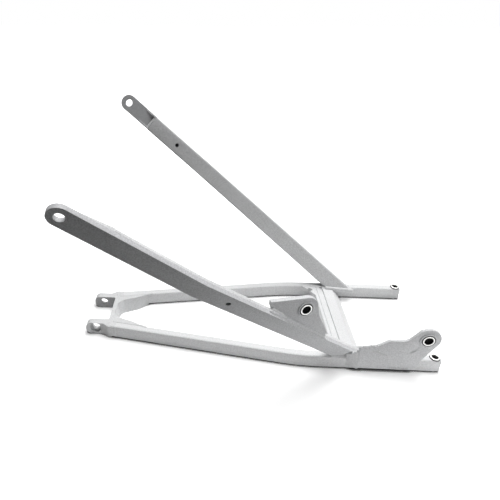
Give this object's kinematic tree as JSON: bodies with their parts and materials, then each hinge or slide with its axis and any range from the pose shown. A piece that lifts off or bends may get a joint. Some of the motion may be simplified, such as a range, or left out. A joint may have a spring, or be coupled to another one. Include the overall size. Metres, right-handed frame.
{
  "type": "dirt bike rear subframe",
  "caption": "Welded rear subframe for a dirt bike, with bent seat rails, a cast front yoke, splayed bolt-on struts, a ribbed crossmember and silencer ears.",
  "frame": {"origin": "centre of the bounding box's underside, in the plane on which the two seat rails lie", "axes": "+X to the rails' rear ends, +Y to the left side of the bike, +Z to the strut tips: upside down, as in the picture"},
  "size_m": [0.358, 0.2998, 0.2179],
  "materials": {
    "cast_silver": "silver paint on a casting",
    "rail_silver": "silver paint",
    "strut_silver": "silver paint",
    "channel_silver": "silver paint",
    "cross_silver": "silver paint",
    "bracket_silver": "silver paint",
    "weld_silver": "silver paint over a weld bead",
    "zinc_steel": "zinc plated",
    "grommet_rubber": "black rubber"
  },
  "bodies": {
    "root": {"front_yoke": "cast_silver", "right_seat_rail": "rail_silver", "right_rail_cap": "rail_silver", "right_end_boss": "zinc_steel", "right_corner_gusset": "rail_silver", "right_strut_end_plate": "strut_silver", "right_strut_flange": "strut_silver", "right_strut_channel": "channel_silver", "right_foot_weld": "weld_silver", "left_seat_rail": "rail_silver", "left_rail_cap": "rail_silver", "left_end_boss": "zinc_steel", "left_corner_gusset": "rail_silver", "left_strut_end_plate": "strut_silver", "left_strut_flange": "strut_silver", "left_strut_channel": "channel_silver", "left_foot_weld": "weld_silver", "crossmember": "cross_silver", "silencer_front_bracket": "bracket_silver", "silencer_rear_bracket": "bracket_silver", "silencer_front_grommet": "grommet_rubber", "silencer_front_sleeve": "zinc_steel", "silencer_rear_grommet": "grommet_rubber", "silencer_rear_sleeve": "zinc_steel"}
  },
  "joints": []
}
